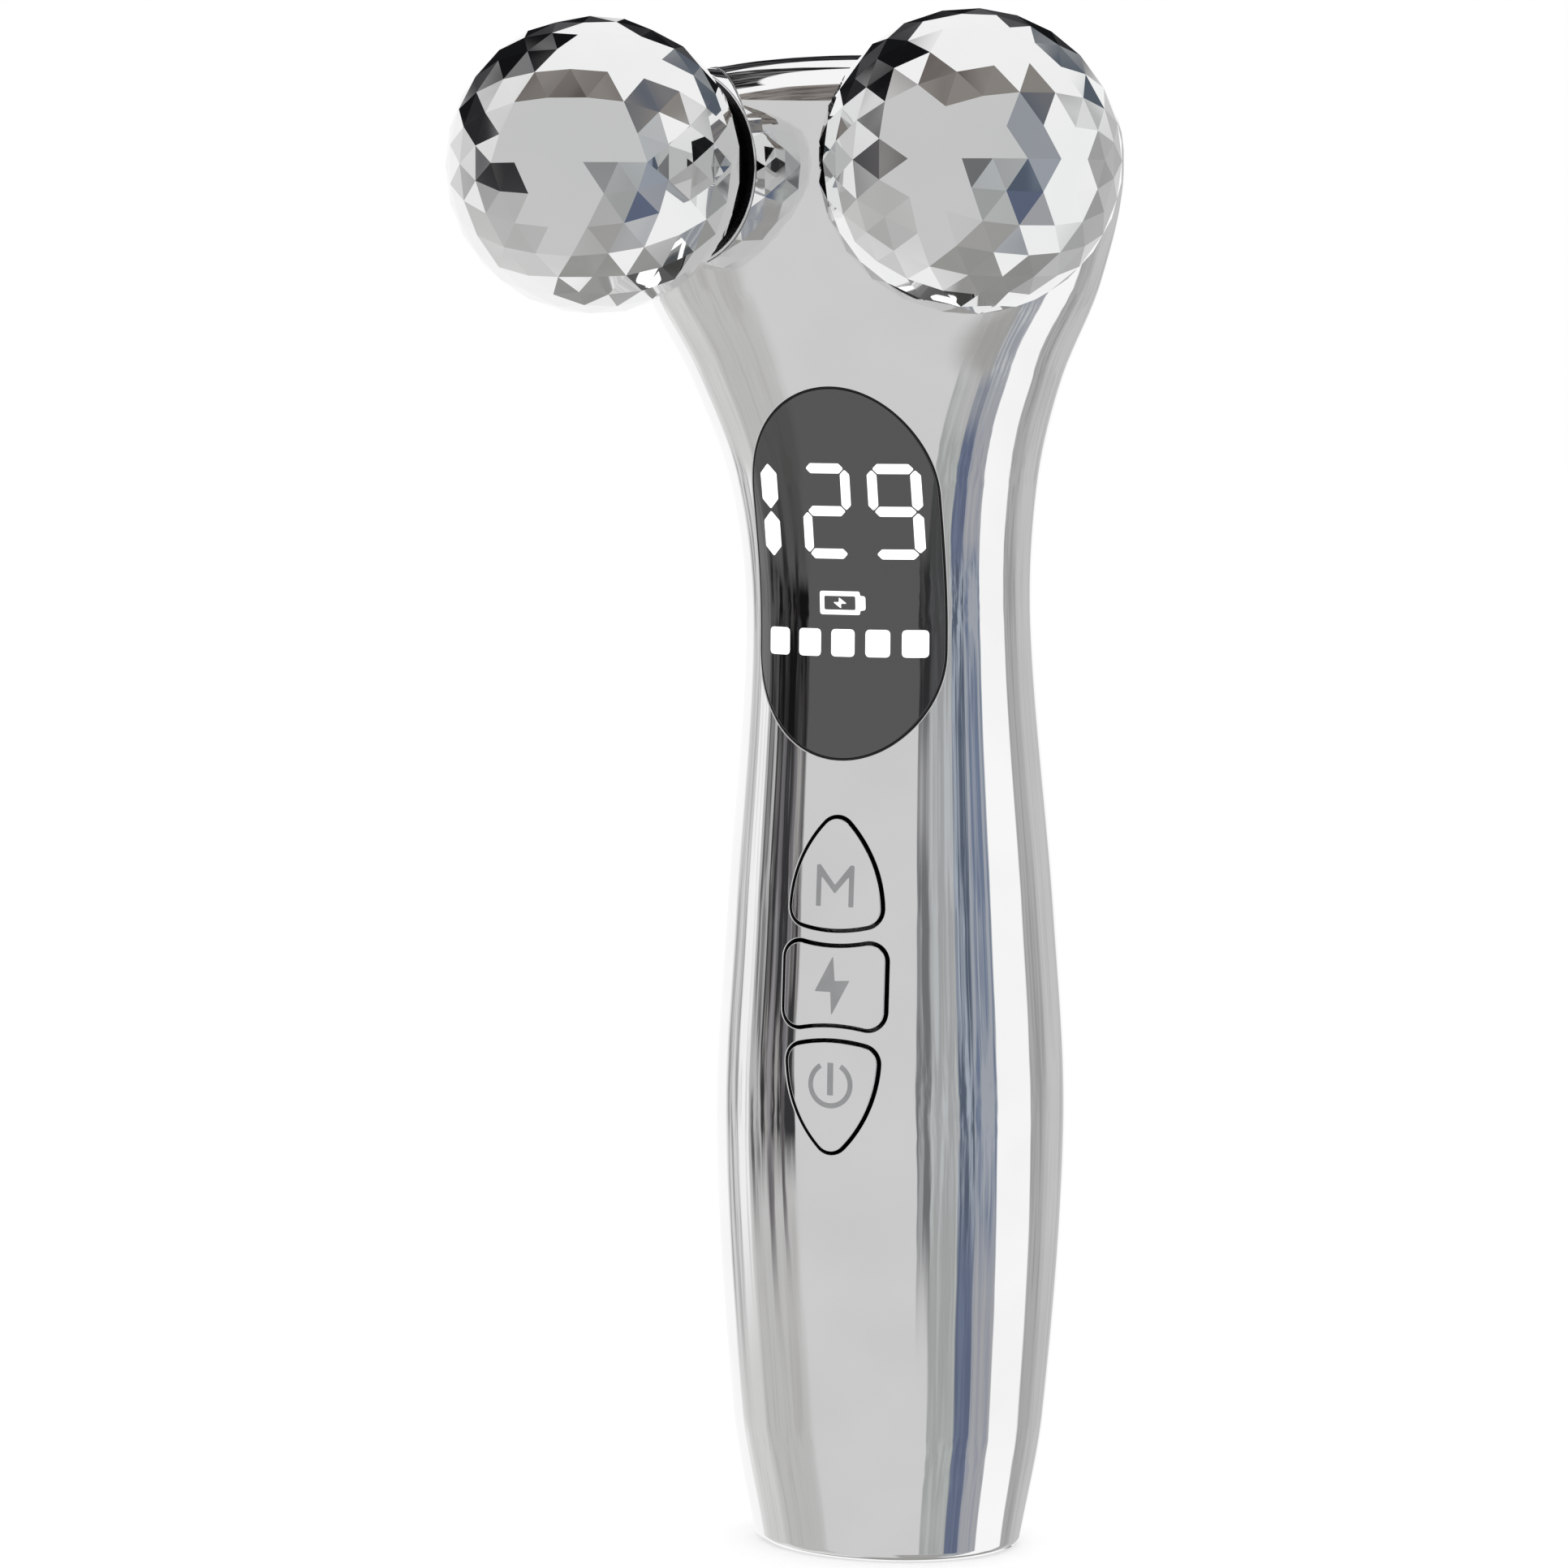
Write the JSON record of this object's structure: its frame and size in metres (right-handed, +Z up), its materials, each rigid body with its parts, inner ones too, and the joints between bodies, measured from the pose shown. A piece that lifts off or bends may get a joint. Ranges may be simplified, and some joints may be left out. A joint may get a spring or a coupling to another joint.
{
  "type": "facial toning device",
  "caption": "Handheld chrome facial toner: flared bottle-shaped handle with a smoked oval display, shaped push buttons and faceted roller balls on splayed axles.",
  "frame": {"origin": "centre of the flat foot, on the line of the handle", "axes": "+Z up along the handle, -Y to the front with the display and the rollers, +X to the right seen from behind the rollers towards +Y"},
  "size_m": [0.0711, 0.0617, 0.161],
  "materials": {
    "shell_chrome": "polished",
    "roller_chrome": "polished",
    "trim_chrome": "polished",
    "cap_plastic": "gloss",
    "smoked_window": "gloss",
    "gasket_black": "matte",
    "lit_white": "matte",
    "well_black": "satin",
    "inner_plastic": "matte",
    "bush_plastic": "satin",
    "pad_silicone": "matte",
    "board_green": "satin",
    "cell_sleeve": "satin",
    "coil_copper": "satin",
    "steel": "satin",
    "contact_brass": "satin",
    "lead_red": "matte",
    "lead_black": "matte"
  },
  "bodies": {
    "handle": {"front_shell": "shell_chrome", "rear_shell": "shell_chrome", "end_cap": "cap_plastic", "display_window": "smoked_window", "window_gasket": "gasket_black", "display_module": "gasket_black", "display_digits": "lit_white", "display_symbols": "lit_white", "main_board": "board_green", "tact_switches": "inner_plastic", "button_pad": "pad_silicone", "board_screws": "steel", "battery_cell": "cell_sleeve", "battery_cradle": "inner_plastic", "pulse_transformer": "coil_copper", "charge_port": "steel", "port_board": "board_green", "axle_carrier": "inner_plastic", "carrier_screws": "steel", "left_axle": "steel", "right_axle": "steel", "left_collar": "trim_chrome", "right_collar": "trim_chrome", "left_insulator": "well_black", "right_insulator": "well_black", "left_washer": "bush_plastic", "right_washer": "bush_plastic", "left_clip": "steel", "right_clip": "steel", "left_contact": "contact_brass", "right_contact": "contact_brass", "electrode_leads": "lead_red", "battery_leads": "lead_black"},
    "left_roller": {"left_ball": "roller_chrome", "left_bush": "bush_plastic"},
    "right_roller": {"right_ball": "roller_chrome", "right_bush": "bush_plastic"},
    "mode_key": {"mode_button": "shell_chrome"},
    "pulse_key": {"pulse_button": "shell_chrome"},
    "power_key": {"power_button": "shell_chrome"}
  },
  "joints": [
    {"name": "left_spin", "type": "hinge", "parent": "handle", "child": "left_roller", "pos_m": [-0.0205, -0.0305, 0.146], "axis": [-0.309, -0.9511, 0], "continuous": true},
    {"name": "right_spin", "type": "hinge", "parent": "handle", "child": "right_roller", "pos_m": [0.0205, -0.0305, 0.146], "axis": [0.309, -0.9511, 0], "continuous": true},
    {"name": "mode_press", "type": "slide", "parent": "handle", "child": "mode_key", "axis": [0, 1, 0], "range_m": [0, 0.0005], "stiffness_N_per_m": 3000},
    {"name": "pulse_press", "type": "slide", "parent": "handle", "child": "pulse_key", "axis": [0, 1, 0], "range_m": [0, 0.0005], "stiffness_N_per_m": 3000},
    {"name": "power_press", "type": "slide", "parent": "handle", "child": "power_key", "axis": [0, 1, 0], "range_m": [0, 0.0005], "stiffness_N_per_m": 3000}
  ]
}
